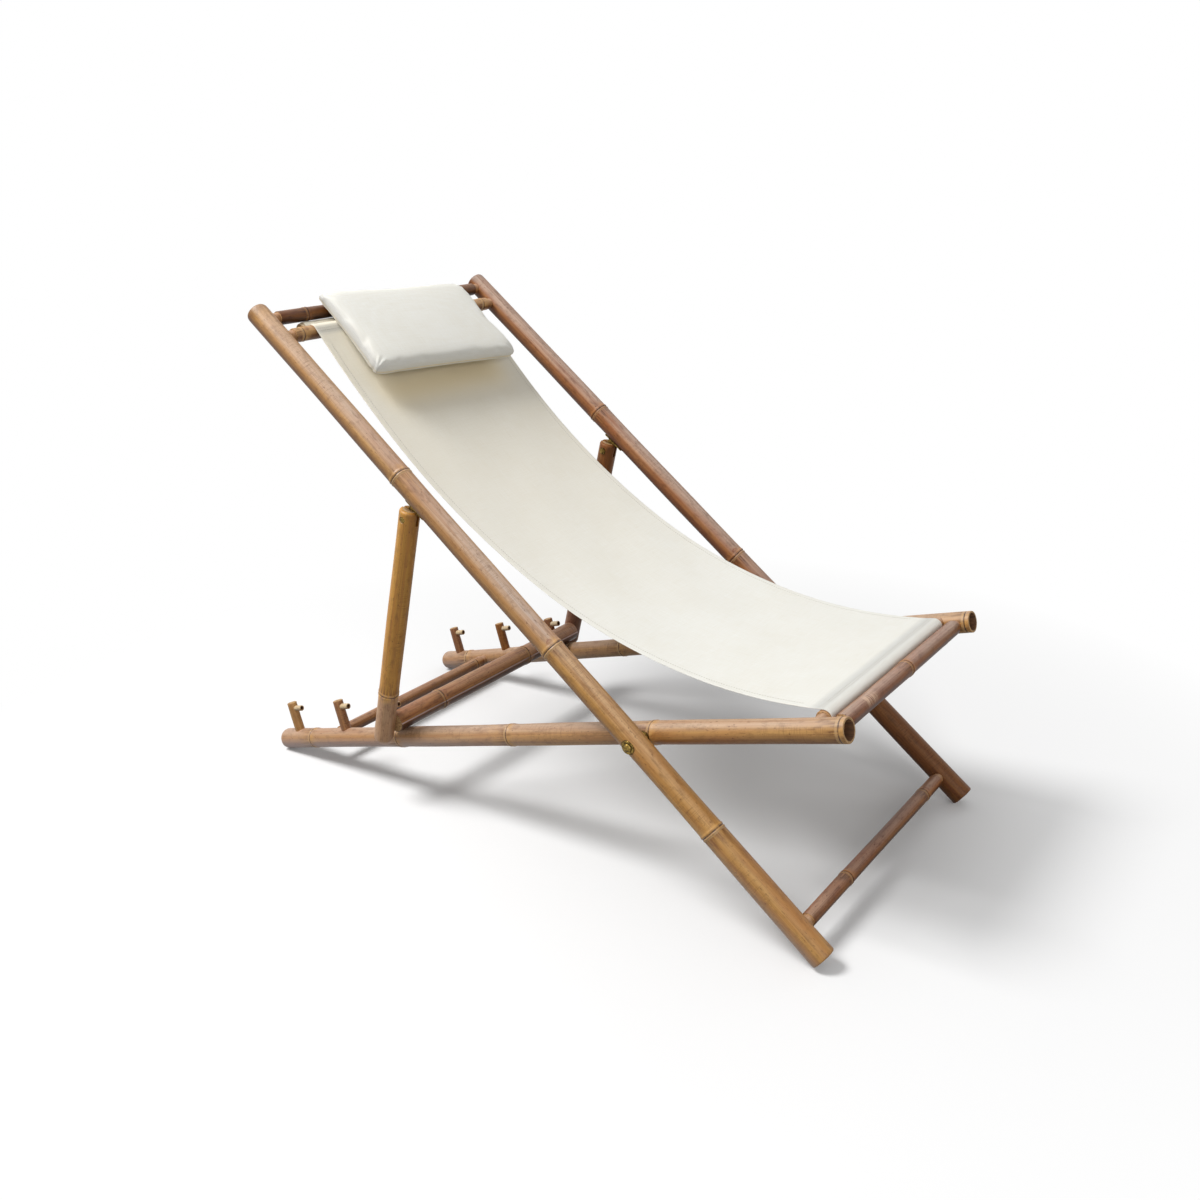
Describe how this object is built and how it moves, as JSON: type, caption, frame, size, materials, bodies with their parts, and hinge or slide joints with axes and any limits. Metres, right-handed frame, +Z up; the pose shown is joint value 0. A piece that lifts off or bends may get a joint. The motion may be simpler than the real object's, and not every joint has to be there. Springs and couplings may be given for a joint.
{
  "type": "bamboo folding recliner",
  "caption": "Folding deck recliner of bamboo poles with a hanging canvas sling, a head pillow and a prop frame that hooks onto pegs on the base.",
  "frame": {"origin": "on the floor, midway between the rear ends of the base rails and the front feet of the back rails, on the chair's middle plane", "axes": "+X towards the sitter's front (the feet), +Y to the sitter's left, +Z up"},
  "size_m": [1.2424, 0.606, 0.9007],
  "materials": {
    "cane": "smooth varnished bamboo, golden brown",
    "dark_cane": "smooth varnished bamboo, dark brown",
    "pale_wood": "bare pale bamboo",
    "brass": "dull brass",
    "steel": "plain screws",
    "canvas": "natural cream canvas, plain weave"
  },
  "bodies": {
    "base_frame": {"base_rail_left": "cane", "base_rail_right": "cane", "hook_post_left_1": "cane", "hook_post_left_2": "cane", "hook_post_left_3": "cane", "hook_post_right_1": "cane", "hook_post_right_2": "cane", "hook_post_right_3": "cane", "hook_peg_left_1": "pale_wood", "hook_peg_left_2": "pale_wood", "hook_peg_left_3": "pale_wood", "hook_peg_right_1": "pale_wood", "hook_peg_right_2": "pale_wood", "hook_peg_right_3": "pale_wood", "rear_crossbar": "dark_cane", "front_crossbar": "dark_cane", "front_sling_bar": "cane", "sling_dowel_front": "pale_wood", "pivot_bolt_left": "brass", "pivot_bolt_right": "brass", "pivot_washer_outer_left": "brass", "pivot_washer_outer_right": "brass", "pivot_spacer_left": "brass", "pivot_spacer_right": "brass", "pivot_washer_inner_left": "brass", "pivot_washer_inner_right": "brass", "pivot_nut_left": "brass", "pivot_nut_right": "brass"},
    "back_frame": {"back_rail_left": "cane", "back_rail_right": "cane", "top_crossbar": "dark_cane", "head_sling_bar": "cane", "foot_crossbar": "dark_cane", "sling_dowel_head": "pale_wood", "hinge_bracket_left": "brass", "hinge_bracket_right": "brass", "bracket_screw_left_rear": "steel", "bracket_screw_left_front": "steel", "bracket_screw_right_rear": "steel", "bracket_screw_right_front": "steel", "sling": "canvas", "pillow": "canvas"},
    "prop_frame": {"prop_leg_left": "cane", "prop_leg_right": "cane", "prop_crossbar": "dark_cane", "hinge_pin_left": "brass", "hinge_pin_right": "brass", "hinge_nut_left": "brass", "hinge_nut_right": "brass"}
  },
  "joints": [
    {"name": "back_fold", "type": "hinge", "parent": "base_frame", "child": "back_frame", "pos_m": [0.28199, 0, 0.27313], "axis": [0, 1, 0], "range_deg": [0, 25], "deforming": ["sling"]},
    {"name": "prop_fold", "type": "hinge", "parent": "back_frame", "child": "prop_frame", "pos_m": [-0.16172, 0, 0.56524], "axis": [0, -1, 0], "range_deg": [0, 60]}
  ],
  "couplings": [
    {"joint": "prop_fold", "follows": "back_fold", "ratio": 2.4}
  ]
}
